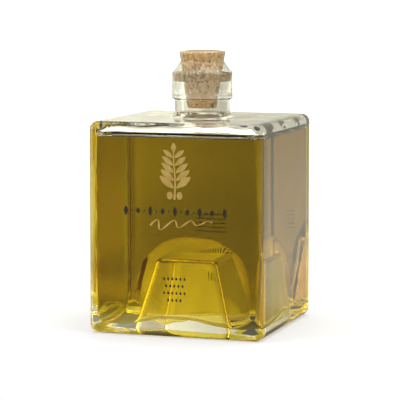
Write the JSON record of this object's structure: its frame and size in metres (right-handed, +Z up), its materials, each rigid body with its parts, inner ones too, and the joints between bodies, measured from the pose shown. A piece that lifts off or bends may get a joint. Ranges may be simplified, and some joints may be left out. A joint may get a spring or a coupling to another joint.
{
  "type": "olive oil bottle",
  "caption": "Square clear glass bottle of olive oil with a hollow pyramid base, round neck, tapered cork stopper and clear film seal; stands on a table or shelf.",
  "frame": {"origin": "middle of the footprint, on the surface that the bottle stands on", "axes": "+Z up along the neck, -Y out of the printed front face"},
  "size_m": [0.089, 0.089, 0.1382],
  "materials": {
    "clear_glass": "polished clear flint glass, thick, slightly uneven inside",
    "olive_oil": "clear golden green oil",
    "agglomerated_cork": "matt pressed cork granules with dark specks",
    "clear_film": "thin clear shrink film, wrinkled",
    "gold_print": "satin gold enamel print on the glass",
    "dark_print": "dark enamel print on the glass"
  },
  "bodies": {
    "root": {"bottle": "clear_glass", "oil": "olive_oil", "cork": "agglomerated_cork", "seal": "clear_film"}
  },
  "joints": []
}
